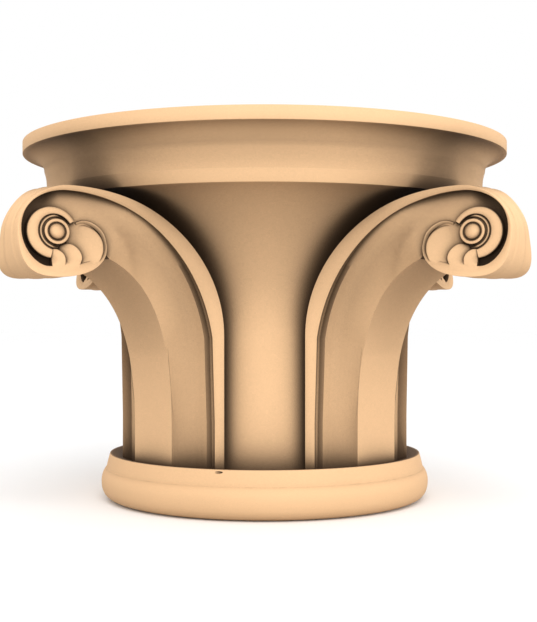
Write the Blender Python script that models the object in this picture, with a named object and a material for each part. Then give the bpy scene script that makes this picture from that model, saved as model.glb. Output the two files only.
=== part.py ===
"""Ionic capital with a round abacus and four diagonal scrolls, carved or cast in one piece.

Metres, +Z up. The underside stands on z = 0 and the turned body's axis is the Z axis.
The body is turned. A stalk is modelled once along +X, with a scroll face on either side, and
placed four times on the diagonals. Everything is then united into one solid.
"""

import math

import bmesh
import bpy
from mathutils import Matrix, Vector, geometry

NAME = "capital"

# Turned body, from the underside up
SEAT_RADIUS = 0.1300
RING_RADIUS = 0.1435
RING_HEIGHT = 0.0398
RING_LIP_RADIUS = 0.1360
RING_BULGE_HEIGHT = 0.0165
RING_NECK_HEIGHT = 0.0330
NECK_RADIUS = 0.1170
NECK_HEIGHT = 0.1152
FLARE_HEIGHT = 0.1003
FLARE_OUT = 0.0708
LOWER_BAND_HEIGHT = 0.0099
LOWER_BAND_TAPER = 0.0022
COVE_HEIGHT = 0.0313
COVE_RADIUS = 0.0165
COVE_FLARE = 0.0020
ABACUS_RADIUS = 0.2105
ABACUS_EDGE_HEIGHT = 0.0103

# Stalk, where it stands against the neck
RIBBON_PROUD = 0.0104
RIBBON_SIDE = 0.05823
FACE_TURN = math.radians(17.65)
RIBBON_FOOT_WIDTH = 0.0084
RIBBON_TURN = 0.345
RIBBON_LAP = 0.517
RIBBON_INNER_UPRIGHT = 0.0755
RIBBON_OUTER_UPRIGHT = 0.1032
FLUTE_FOOT_DEPTH = 0.0120
FLUTE_SAG = 0.24
SPINE_PROUD = 0.0107
SPINE_FOOT_WIDTH = 0.0466
SPINE_TOP_WIDTH = 0.0620
SPINE_UPRIGHT = 0.0248

# Scroll, its face and its carving
EYE_OUT = 0.0459
SCROLL_GAP = 0.0004
SCROLL_HEIGHT = 0.0685
SCROLL_LEAN = 0.16
RECESS = 0.0055
RIM_CROWN = 0.0030
RIM_CROWN_BELOW = 0.0005
RIM_END_DROP = 0.0015
EYE_DOME = 0.0014
CRESCENT_DROP = 0.0012
LEDGE_RISE = 0.0012
PETAL_DOME = 0.0028

# Scroll carving, as shares of the scroll's height
SCROLL_TOP_SHARE = 0.508
SCROLL_FOOT_SHARE = 0.489
SCROLL_TIP_SHARE = 0.421
RIM_SHARE = 0.033
EYE_RADIUS_SHARE = 0.139
CRESCENT_INNER_SHARE = 0.182
CRESCENT_RADIUS_SHARE = 0.279
CRESCENT_SHIFT = (0.048, -0.012)
CRESCENT_START = math.radians(148)
CRESCENT_SWEEP = math.radians(222)

# How finely round forms are cut
TURNED_SIDES = 48
FLARE_STEPS = 6
RIBBON_STEPS = 10
RIM_STEPS = 5
BACK_STEPS = 2
SPINE_STEPS = 14
EYE_SIDES = 10
PETAL_SIDES = 10
CRESCENT_STEPS = 10
FLUTE_ROWS = (0.22, 0.50, 0.78)
FIELD_STEP = 0.0140

RING_TOP = RING_HEIGHT
FLARE_START = RING_HEIGHT + NECK_HEIGHT
FLARE_TOP = FLARE_START + FLARE_HEIGHT
LOWER_BAND_RADIUS = NECK_RADIUS + FLARE_OUT + LOWER_BAND_TAPER
LOWER_BAND_TOP = FLARE_TOP + LOWER_BAND_HEIGHT
COVE_TOP = LOWER_BAND_TOP + COVE_HEIGHT
TOP = COVE_TOP + ABACUS_EDGE_HEIGHT

FOOT_REACH = NECK_RADIUS + RIBBON_PROUD
FOOT_OUT = math.sqrt(FOOT_REACH ** 2 - RIBBON_SIDE ** 2)
SPINE_OUT = NECK_RADIUS + SPINE_PROUD
EYE_REACH = NECK_RADIUS + FLARE_OUT + EYE_OUT
EYE_P = (EYE_REACH - FOOT_OUT) / math.cos(FACE_TURN)
EYE_Z = FLARE_TOP - SCROLL_GAP - SCROLL_TOP_SHARE * SCROLL_HEIGHT
SPINE_BEND = RING_TOP + SPINE_UPRIGHT
INNER_BEND = RING_TOP + RIBBON_INNER_UPRIGHT
OUTER_BEND = RING_TOP + RIBBON_OUTER_UPRIGHT
SAME_PLANE = math.radians(0.05)
SUNK = 0.0040
TUCK = 0.18

# How deep the forms on the scroll are set in, each differently, so that no two feet share a plane
EYE_SUNK = 0.0044
CRESCENT_SUNK = 0.0037
LEDGE_SUNK = 0.0053
PETAL_SUNK = (0.0041, 0.0034, 0.0031)


def curve(start, end, pulls, upright, steps):
    """Points of a quarter turn, as a cubic curve.

    It leaves start upright or level and arrives at end the other way. pulls say how far the
    curve holds to each of the two directions, as shares of the way. The start point is left out.
    """
    across, up = end[0] - start[0], end[1] - start[1]
    if upright:
        near = (start[0], start[1] + pulls[0] * up)
        far = (end[0] - pulls[1] * across, end[1])
    else:
        near = (start[0] + pulls[0] * across, start[1])
        far = (end[0], end[1] - pulls[1] * up)
    corners = [Vector(corner) for corner in (start, near, far, end)]
    return geometry.interpolate_bezier(*corners, steps + 1)[1:]


def smooth(share):
    """0 to 1 with level ends, for a share clamped to 0 and 1."""
    share = min(max(share, 0.0), 1.0)
    return share * share * (3 - 2 * share)


def mesh_object(name, points, faces, flat=False):
    """A closed mesh object from points and faces, with its faces turned outwards.

    Faces that aren't flat are cut into triangles, so that the Booleans meet flat faces only.
    """
    mesh = bpy.data.meshes.new(name)
    mesh.from_pydata([tuple(point) for point in points], [], faces)
    shape = bmesh.new()
    shape.from_mesh(mesh)
    bmesh.ops.remove_doubles(shape, verts=shape.verts, dist=1e-6)
    if not flat:
        bmesh.ops.triangulate(shape, faces=shape.faces)
    bmesh.ops.recalc_face_normals(shape, faces=shape.faces)
    shape.to_mesh(mesh)
    shape.free()
    made = bpy.data.objects.new(name, mesh)
    bpy.context.scene.collection.objects.link(made)
    return made


def loft(name, rings):
    """A closed solid through rings of as many points each, with both ends capped."""
    count = len(rings[0])
    points = [point for ring in rings for point in ring]
    faces = []
    for row in range(len(rings) - 1):
        for i in range(count):
            j = (i + 1) % count
            low, high = row * count, (row + 1) * count
            faces.append((low + i, low + j, high + j, high + i))
    faces.append(tuple(range(count)))
    faces.append(tuple(range((len(rings) - 1) * count, len(rings) * count)))
    return mesh_object(name, points, faces)


def unite(target, others):
    """Joins the other solids to the target, one Boolean after another, and removes them."""
    for other in others:
        union = target.modifiers.new("Union", "BOOLEAN")
        union.operation = "UNION"
        union.solver = "EXACT"
        union.object = other
    graph = bpy.context.evaluated_depsgraph_get()
    united = bpy.data.meshes.new_from_object(target.evaluated_get(graph))
    target.modifiers.clear()
    target.data = united
    shape = bmesh.new()
    shape.from_mesh(united)
    bmesh.ops.dissolve_limit(shape, angle_limit=SAME_PLANE, verts=shape.verts, edges=shape.edges)
    shape.to_mesh(united)
    shape.free()
    for other in others:
        bpy.data.objects.remove(other)
    return target


def body_profile():
    """Radius and height of the turned body's outer line, from the underside to the top."""
    line = [(SEAT_RADIUS, 0.0)]
    line += curve(line[0], (RING_RADIUS, RING_BULGE_HEIGHT), (0.60, 0.45), False, 3)
    waist = (0.35 * RING_RADIUS + 0.65 * RING_LIP_RADIUS, RING_NECK_HEIGHT)
    line += curve(line[-1], waist, (0.30, 0.30), True, 3)
    line.append((RING_LIP_RADIUS, RING_TOP))
    line.append((NECK_RADIUS, RING_TOP))
    line.append((NECK_RADIUS, FLARE_START))
    for step in range(1, FLARE_STEPS + 1):
        turn = step / FLARE_STEPS * math.pi / 2
        out = NECK_RADIUS + FLARE_OUT * (1 - math.cos(turn))
        line.append((out, FLARE_START + FLARE_HEIGHT * math.sin(turn)))
    line.append((LOWER_BAND_RADIUS, LOWER_BAND_TOP))
    cove_foot = (LOWER_BAND_RADIUS + COVE_FLARE, COVE_TOP - COVE_RADIUS)
    line.append(cove_foot)
    line += curve(cove_foot, (ABACUS_RADIUS, COVE_TOP), (0.55, 0.55), True, 3)
    line.append((ABACUS_RADIUS, TOP))
    return line


def turned_body():
    """The ring, bell and abacus, spun as one closed solid."""
    line = body_profile()
    rings = []
    for side in range(TURNED_SIDES):
        turn = 2 * math.pi * side / TURNED_SIDES
        rings.append([(r * math.cos(turn), r * math.sin(turn), z) for r, z in line])
    count = len(line)
    points = [point for ring in rings for point in ring] + [(0, 0, 0), (0, 0, TOP)]
    bottom, top = len(points) - 2, len(points) - 1
    faces = []
    for side in range(TURNED_SIDES):
        here, there = side * count, (side + 1) % TURNED_SIDES * count
        for i in range(count - 1):
            faces.append((here + i, there + i, there + i + 1, here + i + 1))
        faces.append((bottom, there, here))
        faces.append((top, here + count - 1, there + count - 1))
    return mesh_object("body", points, faces, flat=True)


def eye_place(across, up):
    """A place on the face from its shares of the scroll's height out and up from the eye."""
    return (EYE_P + across * SCROLL_HEIGHT, EYE_Z + up * SCROLL_HEIGHT)


def lean(p, z):
    """How far the face leans out of its plane there: back at the top of the scroll."""
    return -SCROLL_LEAN * (z - EYE_Z) * smooth((p / EYE_P - 0.40) / 0.45)


def face_point(p, z, depth, side):
    """A point by its distance p along a scroll face, its height and its depth out of the face."""
    depth += lean(p, z)
    out = FOOT_OUT + p * math.cos(FACE_TURN) + depth * math.sin(FACE_TURN)
    across = RIBBON_SIDE - p * math.sin(FACE_TURN) + depth * math.cos(FACE_TURN)
    return Vector((out, side * across, z))


def ribbon_stations():
    """Outer and inner edge of the ribbon and the scroll's rim, from the foot round to the back."""
    upright = [RING_TOP - SUNK, SPINE_BEND, INNER_BEND]
    outer = [Vector((-RIBBON_FOOT_WIDTH, z)) for z in upright + [OUTER_BEND]]
    outer += curve(outer[-1], eye_place(-0.155, SCROLL_TOP_SHARE), (0.537, 0.555), True, RIBBON_STEPS)
    outer += curve(outer[-1], eye_place(SCROLL_TIP_SHARE, 0.0), (0.505, 0.505), False, RIM_STEPS)
    outer += curve(outer[-1], eye_place(0.0, -SCROLL_FOOT_SHARE), (0.80, 0.686), True, RIM_STEPS)
    outer += curve(outer[-1], eye_place(-0.553, -0.140), (0.656, 0.570), False, RIM_STEPS)
    inner = [Vector((0.0, z)) for z in upright]
    inner += curve(inner[-1], eye_place(-0.120, 0.452), (0.657, 0.434), True, RIBBON_STEPS + 1)
    inner += curve(inner[-1], eye_place(SCROLL_TIP_SHARE - RIM_SHARE, 0.0), (0.372, 0.784), False, RIM_STEPS)
    inner += curve(inner[-1], eye_place(0.107, -0.375), (0.513, 0.490), True, RIM_STEPS)
    inner += curve(inner[-1], eye_place(-0.440, -0.140), (0.60, 0.50), False, RIM_STEPS)
    return list(zip(outer, inner))


def ribbon(stations):
    """The ribbon on both faces with the stalk's back between them, rolled up into the rim.

    Its face turns out of the scroll's face as it widens, and its inner wall goes straight in.
    """
    rings = []
    last = len(stations) - 1
    inner_line = [inner for _, inner in stations]
    for number, (outer, inner) in enumerate(stations):
        before, after = stations[max(number - 1, 0)][0], stations[min(number + 1, last)][0]
        away = (after - before).orthogonal().normalized()
        if away.dot(outer - inner) < 0:
            away = -away
        over = smooth((number - last + RIM_STEPS) / RIM_STEPS)
        sink = -(RECESS + RIM_END_DROP) * over
        raised = RIBBON_TURN * nearest(outer, inner_line)[0] * (1 - over)
        below = smooth((EYE_Z - outer.y) / (SCROLL_FOOT_SHARE * SCROLL_HEIGHT))
        bulge = RIM_CROWN + (RIM_CROWN_BELOW - RIM_CROWN) * below
        crown = outer + bulge * smooth(outer.x / EYE_P) * away
        back = face_point(crown.x, crown.y, sink, 1)
        half = [
            face_point(outer.x + RIBBON_LAP * raised, outer.y, sink + raised, 1),
            face_point(inner.x, inner.y, sink, 1),
            face_point(inner.x, inner.y, foot_depth(inner.x) - 0.5 * SUNK, 1),
        ]
        other = [Vector((point.x, -point.y, point.z)) for point in reversed(half)]
        rings.append(half + other + [Vector((back.x, 0.0, back.z))])
    return loft("ribbon", rings)


def spine_edge(steps):
    """Places (p, z) and depths of the flat spine's edge, from the foot to the back of the scroll."""
    foot = Vector((SPINE_OUT, RING_TOP - 1.5 * SUNK))
    bend = Vector((SPINE_OUT, SPINE_BEND))
    top = (EYE_REACH + 0.146 * SCROLL_HEIGHT, EYE_Z - 0.177 * SCROLL_HEIGHT)
    end = EYE_REACH - 0.565 * SCROLL_HEIGHT
    sweep = [foot, bend] + curve(bend, top, (0.449, 0.918), True, steps)
    shown = [place for place in sweep if place.x < end]
    last, beyond = shown[-1], sweep[len(shown)]
    shown.append(last + (beyond - last) * (end - last.x) / (beyond.x - last.x))
    edge = []
    for out, z in shown:
        share = (out - SPINE_OUT) / (end - SPINE_OUT)
        half = (SPINE_FOOT_WIDTH + (SPINE_TOP_WIDTH - SPINE_FOOT_WIDTH) * share) / 2
        along, across = out - FOOT_OUT, half - RIBBON_SIDE
        p = along * math.cos(FACE_TURN) - across * math.sin(FACE_TURN)
        depth = along * math.sin(FACE_TURN) + across * math.cos(FACE_TURN)
        edge.append((Vector((p, z)), depth - lean(p, z)))
    return edge


def nearest(place, line):
    """Distance to a line of places, with the number of its nearest segment and the share along it."""
    best = (math.inf, 0, 0.0)
    for number in range(len(line) - 1):
        start, way = line[number], line[number + 1] - line[number]
        share = min(max((place - start).dot(way) / way.length_squared, 0.0), 1.0)
        distance = (place - start - share * way).length
        if distance < best[0]:
            best = (distance, number, share)
    return best


def foot_depth(p):
    """Depth of the hollow along the ribbon's wall: deepest in the flute, least on the scroll."""
    return -FLUTE_FOOT_DEPTH + (FLUTE_FOOT_DEPTH - RECESS) * smooth(p / (0.70 * EYE_P))


def field_depth(place, wall, edge):
    """Depth of the hollow between the ribbon's wall and the spine's edge."""
    to_wall, number, share = nearest(place, wall)
    to_edge, mark, part = nearest(place, [spot for spot, _ in edge])
    along = wall[number].x + share * (wall[number + 1].x - wall[number].x)
    foot = foot_depth(along)
    far = edge[mark][1] + part * (edge[mark + 1][1] - edge[mark][1])
    share = to_wall / (to_wall + to_edge)
    sag = FLUTE_SAG * max(foot - far, 0.0)
    return foot + (far - foot) * share - 4 * sag * share * (1 - share)


def inside(place, loop):
    """Whether a place lies inside a closed loop of places."""
    crossings = 0
    for a, b in zip(loop, loop[1:] + loop[:1]):
        if (a.y > place.y) != (b.y > place.y):
            crossings += place.x < a.x + (place.y - a.y) / (b.y - a.y) * (b.x - a.x)
    return crossings % 2 == 1


def web(stations):
    """The stalk's body inside the ribbon: the flutes, the flat spine and the scroll's recessed field."""
    edge = spine_edge(SPINE_STEPS)
    border = [spot for spot, _ in edge]
    wall = [inner for _, inner in stations]
    covered = [(outer + inner) / 2 for outer, inner in stations[:-BACK_STEPS]]
    loop = covered + border[::-1]
    tucked = [inner.lerp(outer, TUCK) for outer, inner in stations[:-RIM_STEPS]]
    places = loop + tucked
    ties = [(i, (i + 1) % len(loop)) for i in range(len(loop))]
    ties += [(i, i + 1) for i in range(len(loop), len(places) - 1)]
    for share in FLUTE_ROWS:
        start = len(places)
        for spot in wall[: RIBBON_STEPS + 2]:
            _, number, part = nearest(spot, border)
            across = border[number] + part * (border[number + 1] - border[number])
            places.append(spot + share * (across - spot))
        ties += [(i, i + 1) for i in range(start, len(places) - 1)]
    lowest, highest = EYE_Z - SCROLL_HEIGHT, EYE_Z + SCROLL_HEIGHT
    for row in range(math.floor(lowest / FIELD_STEP), math.ceil(highest / FIELD_STEP)):
        for column in range(math.ceil((EYE_P + SCROLL_HEIGHT) / FIELD_STEP)):
            place = Vector(((column + 0.5 * (row % 2)) * FIELD_STEP, row * FIELD_STEP))
            clear = min((place - other).length for other in places) > 0.6 * FIELD_STEP
            if clear and inside(place, loop):
                places.append(place)
    cut = geometry.delaunay_2d_cdt(places, ties, [], 1, 1e-7)
    flat, corners = cut[0], [tuple(face) for face in cut[2]]
    points, faces, count = [], [], len(flat)
    for side in (1, -1):
        points += [face_point(spot.x, spot.y, field_depth(spot, wall, edge), side) for spot in flat]
        faces += [tuple(side_start(side, count) + i for i in face) for face in corners]
    faces += [(a, b, count + b, count + a) for a, b in outline_edges(corners)]
    return mesh_object("web", points, faces)


def side_start(side, count):
    """Where a side's points start in a list that holds the +Y side first."""
    return 0 if side > 0 else count


def outline_edges(corners):
    """The edges that only one face has."""
    seen = {}
    for face in corners:
        for a, b in zip(face, face[1:] + face[:1]):
            key = (min(a, b), max(a, b))
            seen[key] = None if key in seen else (a, b)
    return [pair for pair in seen.values() if pair]


def carved(name, rings, side):
    """A raised form from rings of (across, up, depth), from its crest out and down into the field."""
    placed = []
    for ring in rings:
        placed.append([face_point(EYE_P + x, EYE_Z + z, depth, side) for x, z, depth in ring])
    return loft(name, placed)


def oval(centre, radii, turn, share, depth, sides):
    """A ring of points on an oval, shrunk by a share of its radii."""
    ring = []
    for number in range(sides):
        angle = 2 * math.pi * number / sides
        along = share * radii[0] * math.cos(angle)
        over = share * radii[1] * math.sin(angle)
        across = centre[0] + along * math.cos(turn) - over * math.sin(turn)
        up = centre[1] + along * math.sin(turn) + over * math.cos(turn)
        ring.append((across, up, depth))
    return ring


def eye(side):
    """The scroll's eye: a domed boss in a groove, with a flat ring round it."""
    steps = ((0.36, EYE_DOME), (0.58, -0.3 * EYE_DOME), (0.66, -0.5 * RECESS), (0.78, 0.0),
             (1.00, 0.0), (1.00, -RECESS - EYE_SUNK))
    size = (EYE_RADIUS_SHARE * SCROLL_HEIGHT, EYE_RADIUS_SHARE * SCROLL_HEIGHT)
    rings = [oval((0, 0), size, 0, share, depth, EYE_SIDES) for share, depth in steps]
    return carved("eye", rings, side)


def petal(centre, radii, turn, edge, sunk, side):
    """One domed petal of the three that close the scroll below its eye.

    The centre and radii are shares of the scroll's height. edge is how deep its rim lies, and
    sunk how deep it is set into the field.
    """
    centre = [share * SCROLL_HEIGHT for share in centre]
    radii = [share * SCROLL_HEIGHT for share in radii]
    steps = ((0.45, PETAL_DOME - edge), (1.00, -edge), (1.00, -RECESS - sunk))
    rings = [oval(centre, radii, turn, share, depth, PETAL_SIDES) for share, depth in steps]
    return carved("petal", rings, side)


def ledge(side):
    """The low raised edge that runs round the back of the largest petal."""
    centre = (-0.300 * SCROLL_HEIGHT, -0.112 * SCROLL_HEIGHT)
    radii = (0.244 * SCROLL_HEIGHT, 0.262 * SCROLL_HEIGHT)
    top = oval(centre, radii, 0, 1.0, LEDGE_RISE - RECESS, PETAL_SIDES)
    foot = oval(centre, radii, 0, 1.0, -RECESS - LEDGE_SUNK, PETAL_SIDES)
    return carved("ledge", [top, foot], side)


def crescent(side):
    """The scroll's second turn: a flat crescent between the eye's groove and a wider circle."""
    foot = -RECESS - CRESCENT_SUNK
    centre = Vector(CRESCENT_SHIFT) * SCROLL_HEIGHT
    radius = CRESCENT_RADIUS_SHARE * SCROLL_HEIGHT
    near = CRESCENT_INNER_SHARE * SCROLL_HEIGHT
    rings = []
    for number in range(CRESCENT_STEPS + 1):
        angle = CRESCENT_START - CRESCENT_SWEEP * number / CRESCENT_STEPS
        ray = Vector((math.cos(angle), math.sin(angle)))
        along = ray.dot(centre)
        far = along + math.sqrt(radius * radius - centre.length_squared + along * along)
        inner, outer = ray * near, ray * far
        rings.append([(*outer, foot), (*outer, -CRESCENT_DROP), (*inner, -CRESCENT_DROP), (*inner, foot)])
    return carved("crescent", rings, side)


def scroll_carving(side):
    """Everything that stands on one scroll face."""
    petals = (
        ((-0.318, -0.140), (0.190, 0.240), 0.0, 0.0032),
        ((-0.156, -0.268), (0.116, 0.162), 0.30, 0.0028),
        ((-0.006, -0.296), (0.088, 0.112), 0.25, 0.0024),
    )
    made = [petal(*shape, sunk, side) for shape, sunk in zip(petals, PETAL_SUNK)]
    return made + [ledge(side), crescent(side), eye(side)]


def stalk():
    """One stalk with its scroll, along +X, united from its ribbon, its web and its carving."""
    stations = ribbon_stations()
    made = ribbon(stations)
    return unite(made, [web(stations)] + scroll_carving(1) + scroll_carving(-1))


def stone():
    """Fine cast stone, matt and pale buff."""
    material = bpy.data.materials.new("cast_stone")
    material.use_nodes = True
    shader = material.node_tree.nodes["Principled BSDF"]
    shader.inputs["Base Color"].default_value = (0.80, 0.55, 0.33, 1.0)
    shader.inputs["Roughness"].default_value = 0.75
    shader.inputs["Metallic"].default_value = 0.0
    return material


def main():
    for old in list(bpy.data.objects):
        bpy.data.objects.remove(old)
    first = stalk()
    stalks = []
    for number in range(4):
        copy = bpy.data.objects.new("stalk", first.data.copy())
        copy.data.transform(Matrix.Rotation(math.radians(45 + 90 * number), 4, "Z"))
        bpy.context.scene.collection.objects.link(copy)
        stalks.append(copy)
    bpy.data.objects.remove(first)
    capital = unite(turned_body(), stalks)
    capital.name = NAME
    capital.data.name = NAME
    capital.data.materials.clear()
    capital.data.materials.append(stone())
    capital.data.shade_smooth()
    capital.data.set_sharp_from_angle(angle=math.radians(32))


main()
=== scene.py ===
"""Looks of the ionic capital: its fine carved surface, its stone finish and the studio round it.

Metres, +Z up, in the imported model's frame, with the underside on z = 0. The capital is one piece
of cast stone, so one fine mesh stands for its one node. The body is turned about the Z axis. A
stalk is modelled once along +X, with a scroll face on either side of it, and placed four times on
the diagonals. The scroll's carving is modelled flat, as x along the face, y up and z out of the
face, all from the scroll's eye, and then laid on the face.
"""

import logging
import math
from collections.abc import Iterator, Sequence
from contextlib import contextmanager
from dataclasses import dataclass
from enum import Enum

import bpy
from mathutils import Matrix, Vector, geometry

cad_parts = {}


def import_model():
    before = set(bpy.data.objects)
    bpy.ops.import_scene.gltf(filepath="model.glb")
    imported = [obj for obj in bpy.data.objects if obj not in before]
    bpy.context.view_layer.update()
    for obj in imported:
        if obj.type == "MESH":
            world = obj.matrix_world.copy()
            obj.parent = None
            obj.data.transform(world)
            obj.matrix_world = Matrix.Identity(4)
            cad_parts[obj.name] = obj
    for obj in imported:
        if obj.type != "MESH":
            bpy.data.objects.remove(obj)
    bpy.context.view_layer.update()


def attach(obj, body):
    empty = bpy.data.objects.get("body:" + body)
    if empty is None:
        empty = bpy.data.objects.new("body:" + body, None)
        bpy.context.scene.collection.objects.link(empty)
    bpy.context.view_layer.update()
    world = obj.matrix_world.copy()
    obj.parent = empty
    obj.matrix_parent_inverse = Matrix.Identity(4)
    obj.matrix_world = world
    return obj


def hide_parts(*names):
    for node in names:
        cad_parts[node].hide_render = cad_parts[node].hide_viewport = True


log = logging.getLogger("capital")

Place = tuple[float, float]


class Side(Enum):
    """Which of a stalk's two faces a form stands on."""

    LEFT = 1
    RIGHT = -1


class Leave(Enum):
    """How a quarter turn leaves its start."""

    UPRIGHT = "upright"
    LEVEL = "level"


def smooth(share: float) -> float:
    """0 to 1 with level ends, for a share clamped to 0 and 1."""
    share = min(max(share, 0.0), 1.0)
    return share * share * (3 - 2 * share)


def quarter(start: Place, end: Place, pulls: Place, leave: Leave, steps: int) -> list[Vector]:
    """Points of a quarter turn, as a cubic curve, with the start left out.

    Args:
        start: Where the turn begins.
        end: Where it ends, at right angles to its start.
        pulls: How far the curve holds to its start's and its end's direction, as shares.
        leave: Whether it leaves the start upright or level.
        steps: How many points it gets.

    Returns:
        The points after the start.
    """
    across, up = end[0] - start[0], end[1] - start[1]
    if leave is Leave.UPRIGHT:
        near = (start[0], start[1] + pulls[0] * up)
        far = (end[0] - pulls[1] * across, end[1])
    else:
        near = (start[0] + pulls[0] * across, start[1])
        far = (end[0], end[1] - pulls[1] * up)
    corners = [Vector(corner) for corner in (start, near, far, end)]
    return geometry.interpolate_bezier(*corners, steps + 1)[1:]


def through(spots: Sequence[Place], steps: int, closed: bool = False) -> list[Vector]:
    """Points of a smooth curve through some spots, which are among its points.

    Args:
        spots: The places that the curve passes through.
        steps: How many points each stretch gets.
        closed: Whether the curve runs back to its first spot.

    Returns:
        The curve's points, without a repeat of the first one.
    """
    ends = [Vector(spot) for spot in spots]
    count = len(ends)
    line = []
    for number in range(count if closed else count - 1):
        if closed:
            before, start, end, after = (ends[(number + i) % count] for i in (-1, 0, 1, 2))
        else:
            before, start = ends[max(number - 1, 0)], ends[number]
            end, after = ends[number + 1], ends[min(number + 2, count - 1)]
        near, far = start + (end - before) / 6, end - (after - start) / 6
        line += geometry.interpolate_bezier(start, near, far, end, steps + 1)[:-1]
    return line if closed else line + [ends[-1]]


def nearest(place: Vector, line: Sequence[Vector]) -> tuple[float, int, float]:
    """The nearest place on a line.

    Args:
        place: Where it is measured from.
        line: The line's points.

    Returns:
        The distance, the number of the nearest stretch and the share along it.
    """
    best = (math.inf, 0, 0.0)
    for number in range(len(line) - 1):
        start, way = line[number], line[number + 1] - line[number]
        share = min(max((place - start).dot(way) / way.length_squared, 0.0), 1.0)
        distance = (place - start - share * way).length
        if distance < best[0]:
            best = (distance, number, share)
    return best


def start_clean() -> None:
    """Deselects everything, so that an operator acts only on what is chosen next."""
    bpy.ops.object.select_all(action="DESELECT")


def choose(piece: bpy.types.Object) -> None:
    """Makes one object the only selected one and the active one.

    Args:
        piece: The object.
    """
    start_clean()
    piece.select_set(True)
    bpy.context.view_layer.objects.active = piece


@contextmanager
def editing(piece: bpy.types.Object) -> Iterator[None]:
    """Edit mode on one object, with all of its mesh selected, for the time of a with block.

    Args:
        piece: The object.
    """
    choose(piece)
    bpy.ops.object.mode_set(mode="EDIT")
    bpy.ops.mesh.select_all(action="SELECT")
    yield
    bpy.ops.object.mode_set(mode="OBJECT")


def grow(name: str, rings: Sequence[Place], sides: int) -> bpy.types.Object:
    """A closed round solid, grown from a filled circle by extruding its top and scaling it.

    Args:
        name: The object's name.
        rings: Radius and height of each ring, from the foot up.
        sides: How many sides the circle has.

    Returns:
        The object, with its place in its mesh.
    """
    start_clean()
    radius, height = rings[0]
    bpy.ops.mesh.primitive_circle_add(vertices=sides, radius=radius, fill_type="NGON")
    made = bpy.context.object
    made.name = name
    with editing(made):
        bpy.ops.transform.translate(value=(0, 0, height))
        for wider, higher in rings[1:]:
            bpy.ops.mesh.extrude_region_move(TRANSFORM_OT_translate={"value": (0, 0, higher - height)})
            scale = wider / radius
            bpy.ops.transform.resize(value=(scale, scale, 1), center_override=(0, 0, higher))
            radius, height = wider, higher
        bpy.ops.mesh.select_all(action="SELECT")
        bpy.ops.mesh.normals_make_consistent(inside=False)
    return made


def from_faces(name: str, points: Sequence[Vector], faces: Sequence[tuple[int, ...]]) -> bpy.types.Object:
    """A closed object from points and faces, with doubles merged and faces turned outwards.

    Args:
        name: The object's name.
        points: The mesh's points.
        faces: The mesh's faces, as numbers of points.

    Returns:
        The object.
    """
    mesh = bpy.data.meshes.new(name)
    mesh.from_pydata([tuple(point) for point in points], [], faces)
    made = bpy.data.objects.new(name, mesh)
    bpy.context.scene.collection.objects.link(made)
    with editing(made):
        bpy.ops.mesh.remove_doubles(threshold=1e-6)
        bpy.ops.mesh.normals_make_consistent(inside=False)
    return made


def loft(name: str, rings: Sequence[Sequence[Vector]]) -> bpy.types.Object:
    """A closed solid through rings of as many points each, with both ends capped.

    Args:
        name: The object's name.
        rings: The rings of points, in order.

    Returns:
        The object.
    """
    count = len(rings[0])
    points = [point for ring in rings for point in ring]
    faces = [tuple(range(count)), tuple(range(len(points) - count, len(points)))]
    for row in range(len(rings) - 1):
        for i in range(count):
            j = (i + 1) % count
            low, high = row * count, (row + 1) * count
            faces.append((low + i, low + j, high + j, high + i))
    return from_faces(name, points, faces)


def round_edges(piece: bpy.types.Object, width: float, angle: float, segments: int = 2) -> None:
    """Rounds an object's crisp edges with a Bevel modifier, and applies it.

    Args:
        piece: The object.
        width: The rounding's width.
        angle: Edges that turn by more than this are rounded.
        segments: How many strips the rounding has.
    """
    choose(piece)
    bevel = piece.modifiers.new("Rounding", "BEVEL")
    bevel.width = width
    bevel.segments = segments
    bevel.limit_method = "ANGLE"
    bevel.angle_limit = angle
    bevel.use_clamp_overlap = True
    bpy.ops.object.modifier_apply(modifier=bevel.name)


def to_triangles(piece: bpy.types.Object) -> None:
    """Cuts an object's faces into triangles, so that a Boolean meets flat faces only."""
    with editing(piece):
        bpy.ops.mesh.quads_convert_to_tris(quad_method="BEAUTY", ngon_method="BEAUTY")


def combine(target: bpy.types.Object, others: Sequence[bpy.types.Object], cut: bool = False) -> None:
    """Joins other solids to the target, or cuts them out of it, and removes them.

    Args:
        target: The object that changes.
        others: The objects that are joined to it or cut out of it.
        cut: Whether they are cut out.
    """
    for other in others:
        choose(target)
        joint = target.modifiers.new("Carving", "BOOLEAN")
        joint.operation = "DIFFERENCE" if cut else "UNION"
        joint.solver = "EXACT"
        joint.object = other
        bpy.ops.object.modifier_apply(modifier=joint.name)
        bpy.data.objects.remove(other)


def mirrored(piece: bpy.types.Object) -> bpy.types.Object:
    """A copy of an object on the other side of the XZ plane.

    Args:
        piece: The object.

    Returns:
        The copy.
    """
    copy = piece.copy()
    copy.data = piece.data.copy()
    bpy.context.scene.collection.objects.link(copy)
    copy.data.transform(Matrix.Scale(-1, 4, (0, 1, 0)))
    with editing(copy):
        bpy.ops.mesh.normals_make_consistent(inside=False)
    return copy


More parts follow.
